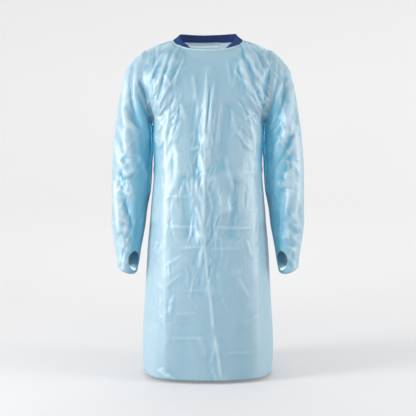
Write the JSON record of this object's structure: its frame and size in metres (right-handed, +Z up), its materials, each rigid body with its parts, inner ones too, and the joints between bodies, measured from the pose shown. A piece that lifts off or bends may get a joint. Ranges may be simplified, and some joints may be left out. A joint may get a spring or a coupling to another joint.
{
  "type": "isolation gown",
  "caption": "Hollow knee-length isolation gown in worn form, with long sleeves, thumb-hole cuffs, a rib neckband, a lapped open back and knotted waist ties.",
  "frame": {"origin": "midway between the two side points of the neck, where the wearer's shoulders carry the gown", "axes": "+Z up, the front faces -Y, the wearer's right sleeve is at -X"},
  "size_m": [0.6366, 0.3743, 1.1268],
  "materials": {
    "cloth": "thin film-coated nonwoven, soft sheen",
    "band": "matt rib knit",
    "tape": "matt closure tape",
    "tie": "folded nonwoven strip"
  },
  "bodies": {
    "root": {"front": "cloth", "back_over": "cloth", "back_under": "cloth", "sleeve_right": "cloth", "sleeve_left": "cloth", "cuff_right": "cloth", "cuff_left": "cloth", "neckband": "band", "neck_tape": "tape", "tie_right": "tie", "tie_left": "tie", "tie_knot": "tie", "tie_end_right": "tie", "tie_end_left": "tie"}
  },
  "joints": []
}
